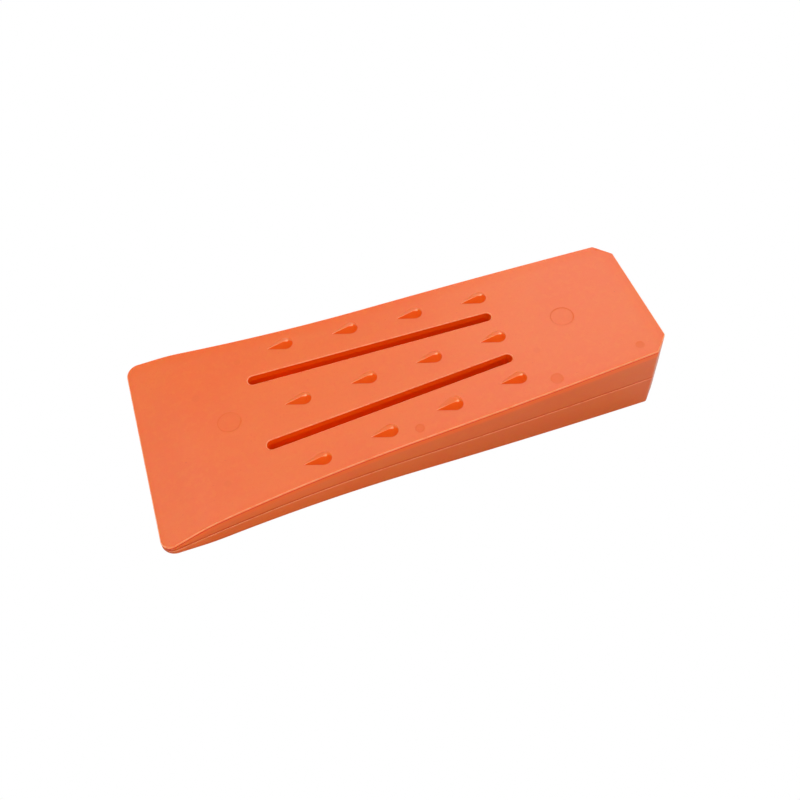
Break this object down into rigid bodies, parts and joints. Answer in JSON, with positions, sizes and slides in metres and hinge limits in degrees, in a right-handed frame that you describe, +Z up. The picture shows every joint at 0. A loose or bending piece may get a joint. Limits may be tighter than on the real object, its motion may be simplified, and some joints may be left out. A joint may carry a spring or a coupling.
{
  "type": "felling wedge",
  "caption": "One-piece moulded plastic felling wedge with a flared thin tip, tapered faces, rows of raised gripping spikes, long slots and a chamfered striking head.",
  "frame": {"origin": "on the floor below the middle of the footprint, with the wedge standing on the spikes of its level underside", "axes": "+X from the thin tip towards the striking head, +Y across the width, +Z up from the floor; the mid-plane rises 3.3 degrees towards the head"},
  "size_m": [0.2037, 0.0874, 0.0343],
  "materials": {
    "orange_plastic": "satin moulded plastic with a fine grain"
  },
  "bodies": {
    "root": {"wedge_body": "orange_plastic"}
  },
  "joints": []
}
